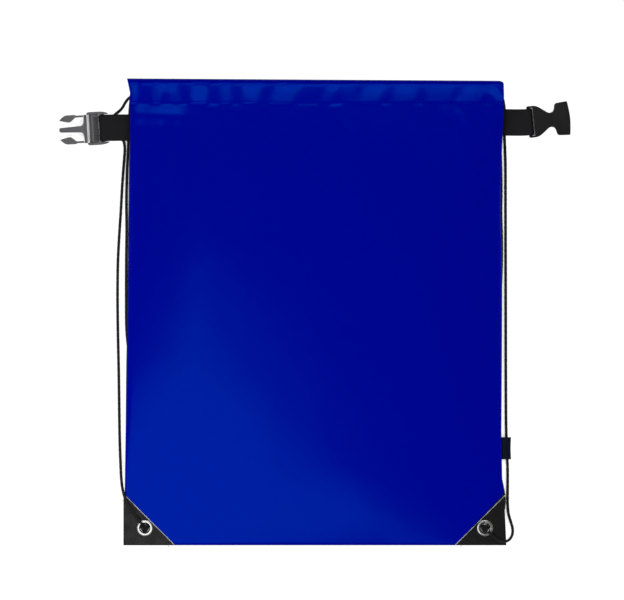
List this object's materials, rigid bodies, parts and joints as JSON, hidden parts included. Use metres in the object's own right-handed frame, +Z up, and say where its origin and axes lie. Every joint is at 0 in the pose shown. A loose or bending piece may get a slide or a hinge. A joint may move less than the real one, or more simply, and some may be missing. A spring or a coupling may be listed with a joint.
{
  "type": "drawstring backpack",
  "caption": "Flat cloth drawstring backpack with cord shoulder straps knotted at lower corner eyelets and a back webbing strap ending in a side-release buckle's two halves.",
  "frame": {"origin": "on the surface that the bag lies on, under the middle of the bag's outline", "axes": "+Z up, out of the front panel of the lying bag; +Y from the bag's bottom towards its mouth; +X to the right, seen from above with the mouth at the top"},
  "size_m": [0.4613, 0.42, 0.0155],
  "materials": {
    "polyester": "coated plain weave, slight sheen",
    "coated_cloth": "smooth coated cloth",
    "webbing": "ribbed flat webbing",
    "cord": "braided cord",
    "label_cloth": "woven tape",
    "nickel": "plated, polished",
    "grey_plastic": "moulded, satin",
    "black_plastic": "moulded, satin"
  },
  "bodies": {
    "bag": {"front_panel": "polyester", "back_panel": "polyester", "corner_patch_left": "coated_cloth", "corner_patch_right": "coated_cloth", "eyelet_left": "nickel", "eyelet_washer_left": "nickel", "eyelet_right": "nickel", "eyelet_washer_right": "nickel", "side_label": "label_cloth", "cross_strap": "webbing", "drawcord_left_front_run": "cord", "drawcord_left_back_run": "cord", "drawcord_left_turn": "cord", "drawcord_left_outer_strand": "cord", "drawcord_left_inner_strand": "cord", "knot_left": "cord", "drawcord_right_front_run": "cord", "drawcord_right_back_run": "cord", "drawcord_right_turn": "cord", "drawcord_right_outer_strand": "cord", "drawcord_right_inner_strand": "cord", "knot_right": "cord"},
    "male_buckle": {"male_buckle_frame": "grey_plastic"},
    "latch_upper": {"latch_arm_upper": "grey_plastic"},
    "latch_lower": {"latch_arm_lower": "grey_plastic"},
    "female_buckle": {"female_buckle_body": "black_plastic"}
  },
  "joints": [
    {"name": "male_buckle_swing", "type": "hinge", "parent": "bag", "child": "male_buckle", "pos_m": [-0.1913, 0.16633, 0.0043], "axis": [-0.0558, 0.9984, 0], "range_deg": [-90, 90]},
    {"name": "latch_upper_flex", "type": "hinge", "parent": "male_buckle", "child": "latch_upper", "pos_m": [-0.20992, 0.17691, 0.0043], "axis": [0, 0, 1], "range_deg": [0, 8], "stiffness_Nm_per_rad": 0.9},
    {"name": "latch_lower_flex", "type": "hinge", "parent": "male_buckle", "child": "latch_lower", "pos_m": [-0.20863, 0.15374, 0.0043], "axis": [0, 0, -1], "range_deg": [0, 8], "stiffness_Nm_per_rad": 0.9},
    {"name": "female_buckle_swing", "type": "hinge", "parent": "bag", "child": "female_buckle", "pos_m": [0.19367, 0.1717, 0.0043], "axis": [-0.1045, 0.9945, 0], "range_deg": [-90, 90]}
  ]
}
